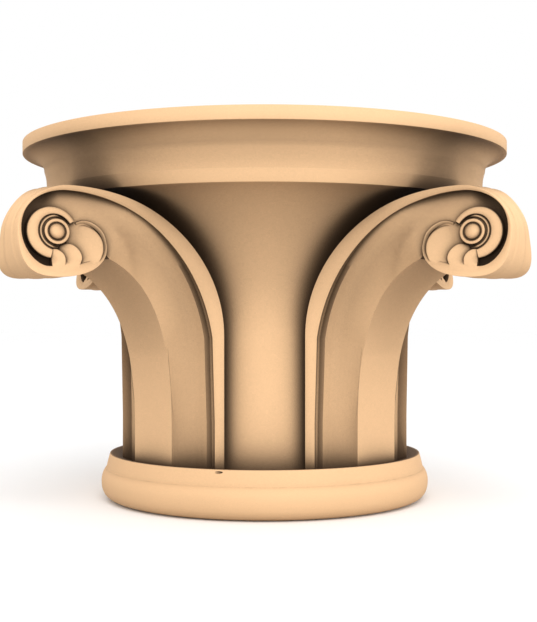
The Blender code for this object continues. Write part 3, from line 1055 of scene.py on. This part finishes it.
@dataclass(frozen=True)
class CastStone:
    """Fine cast stone: smooth, matt and pale buff, with a fine grain, and painted shade that darkens its colour
    in hollows and corners.
    """

    colour: tuple[float, float, float] = (0.84, 0.532, 0.290)
    # Near-black colour of the painted shade in hollows and corners, not a colour of the stone.
    painted_shade_colour: tuple[float, float, float] = (0.040, 0.020, 0.008)
    roughness: float = 0.78
    grain_size: float = 1400.0
    grain_height: float = 0.00006
    speck: float = 0.05
    cloud: float = 0.04
    # How far and how hard the painted shade reaches into hollows.
    reach: float = 0.100
    contrast: float = 3.7

    def material(self) -> bpy.types.Material:
        """Makes the material."""
        made = bpy.data.materials.new("cast_stone")
        made.use_nodes = True
        nodes, links = made.node_tree.nodes, made.node_tree.links
        shader = nodes["Principled BSDF"]
        shader.inputs["Specular IOR Level"].default_value = 0.25
        # The hollow node is the painted shade mask: ambient occlusion, 1 in the open and 0 in corners.
        grain, hollow = nodes.new("ShaderNodeGroup"), nodes.new("ShaderNodeGroup")
        grain.node_tree, hollow.node_tree = grain_group(), painted_shade_group()
        grain.inputs["Size"].default_value = self.grain_size
        hollow.inputs["Reach"].default_value = self.reach
        hollow.inputs["Contrast"].default_value = self.contrast
        # Painted shade: the base colour darkens towards the painted shade colour in hollows, creases and
        # corners.
        painted_shade_mix = nodes.new("ShaderNodeMix")
        painted_shade_mix.data_type = "RGBA"
        painted_shade_mix.inputs["A"].default_value = (*self.painted_shade_colour, 1)
        painted_shade_mix.inputs["B"].default_value = (*self.colour, 1)
        links.new(hollow.outputs["Open"], painted_shade_mix.inputs["Factor"])
        shades = nodes.new("ShaderNodeHueSaturation")
        value = nodes.new("ShaderNodeMapRange")
        value.inputs["To Min"].default_value = 1 - self.speck
        value.inputs["To Max"].default_value = 1 + self.speck
        value.inputs["From Min"].default_value = 0.3
        value.inputs["From Max"].default_value = 0.7
        links.new(grain.outputs["Grain"], value.inputs["Value"])
        cloudy = nodes.new("ShaderNodeMapRange")
        cloudy.inputs["To Min"].default_value = 1 - self.cloud
        cloudy.inputs["To Max"].default_value = 1 + self.cloud
        links.new(grain.outputs["Clouds"], cloudy.inputs["Value"])
        both = nodes.new("ShaderNodeMath")
        both.operation = "MULTIPLY"
        links.new(value.outputs["Result"], both.inputs[0])
        links.new(cloudy.outputs["Result"], both.inputs[1])
        links.new(painted_shade_mix.outputs["Result"], shades.inputs["Color"])
        links.new(both.outputs["Value"], shades.inputs["Value"])
        links.new(shades.outputs["Color"], shader.inputs["Base Color"])
        rough = nodes.new("ShaderNodeMapRange")
        rough.inputs["To Min"].default_value = self.roughness - 0.08
        rough.inputs["To Max"].default_value = self.roughness + 0.08
        links.new(grain.outputs["Grain"], rough.inputs["Value"])
        links.new(rough.outputs["Result"], shader.inputs["Roughness"])
        bump = nodes.new("ShaderNodeBump")
        bump.inputs["Distance"].default_value = self.grain_height
        links.new(grain.outputs["Grain"], bump.inputs["Height"])
        links.new(bump.outputs["Normal"], shader.inputs["Normal"])
        return made


@dataclass(frozen=True)
class PaleFloor:
    """The studio floor's finish: plain, matt and nearly white."""

    shade: float = 1.0
    bounce: float = 0.52

    def material(self) -> bpy.types.Material:
        """Makes the material."""
        made = bpy.data.materials.new("pale_floor")
        made.use_nodes = True
        shader = made.node_tree.nodes["Principled BSDF"]
        nodes, links = made.node_tree.nodes, made.node_tree.links
        path, tone = nodes.new("ShaderNodeLightPath"), nodes.new("ShaderNodeMix")
        tone.data_type = "RGBA"
        tone.inputs["A"].default_value = (self.bounce, self.bounce, self.bounce, 1)
        tone.inputs["B"].default_value = (self.shade, self.shade, self.shade, 1)
        links.new(path.outputs["Is Camera Ray"], tone.inputs["Factor"])
        links.new(tone.outputs["Result"], shader.inputs["Base Color"])
        shader.inputs["Roughness"].default_value = 0.95
        shader.inputs["Specular IOR Level"].default_value = 0.1
        return made


@dataclass
class SoftLight:
    """One large soft lamp, aimed at the capital."""

    name: str
    place: tuple[float, float, float]
    size: float
    watts: float

    def build(self, aim: Vector) -> bpy.types.Object:
        """Adds the lamp and turns it towards a point."""
        start_clean()
        bpy.ops.object.light_add(type="AREA", location=self.place)
        lamp = bpy.context.object
        lamp.name = self.name
        lamp.data.size = self.size
        lamp.data.energy = self.watts
        lamp.rotation_euler = (aim - Vector(self.place)).to_track_quat("-Z", "Y").to_euler()
        return lamp


@dataclass
class Studio:
    """The floor, the lights and the camera."""

    floor_radius: float = 14.0
    surround: float = 1.0
    camera_place: tuple[float, float, float] = (0.0, -1.0, 0.155)
    focal_share: float = 1125 / 622
    sensor: float = 36.0
    shift: Place = (0.00614, 0.01516)
    aim: tuple[float, float, float] = (0.0, 0.0, 0.16)

    def floor(self) -> bpy.types.Object:
        """A wide plain disc under the capital."""
        start_clean()
        bpy.ops.mesh.primitive_circle_add(vertices=96, radius=self.floor_radius, fill_type="NGON")
        floor = bpy.context.object
        floor.name = "floor"
        floor.data.materials.append(PaleFloor().material())
        return floor

    def surroundings(self) -> None:
        """A white surround, which the camera sees brighter than it lights the capital."""
        world = bpy.data.worlds.new("surround")
        bpy.context.scene.world = world
        world.use_nodes = True
        nodes, links = world.node_tree.nodes, world.node_tree.links
        backdrop = nodes["Background"]
        path, strength = nodes.new("ShaderNodeLightPath"), nodes.new("ShaderNodeMapRange")
        strength.inputs["To Min"].default_value = self.surround
        strength.inputs["To Max"].default_value = 1.0
        backdrop.inputs["Color"].default_value = (1, 1, 1, 1)
        links.new(path.outputs["Is Camera Ray"], strength.inputs["Value"])
        links.new(strength.outputs["Result"], backdrop.inputs["Strength"])

    def camera(self) -> None:
        """The camera, level and at the photograph's angle."""
        start_clean()
        bpy.ops.object.camera_add(location=self.camera_place, rotation=(math.pi / 2, 0, 0))
        camera = bpy.context.object
        camera.name = "camera"
        camera.data.sensor_width = self.sensor
        camera.data.lens = self.sensor * self.focal_share
        camera.data.shift_x, camera.data.shift_y = self.shift
        bpy.context.scene.camera = camera

    def build(self) -> None:
        """Sets up the studio."""
        self.floor()
        self.surroundings()
        self.camera()
        aim = Vector(self.aim)
        SoftLight("front_light", (0.15, -1.60, 1.55), 1.0, 15.5).build(aim)
        SoftLight("low_light", (0.20, -1.9, 0.30), 0.8, 4.5).build(aim)
        SoftLight("side_light", (1.60, -0.95, 0.55), 0.7, 4.5).build(aim)
        bpy.context.scene.view_settings.view_transform = "Standard"


def main() -> None:
    """Builds the capital and the studio."""
    logging.basicConfig(level=logging.INFO, format="%(message)s")
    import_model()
    capital = Capital().build()
    capital.data.materials.clear()
    capital.data.materials.append(CastStone().material())
    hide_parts("capital")
    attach(capital, "root")
    log.info("%s: %d faces", capital.name, len(capital.data.polygons))
    Studio().build()


if __name__ == "__main__":
    main()
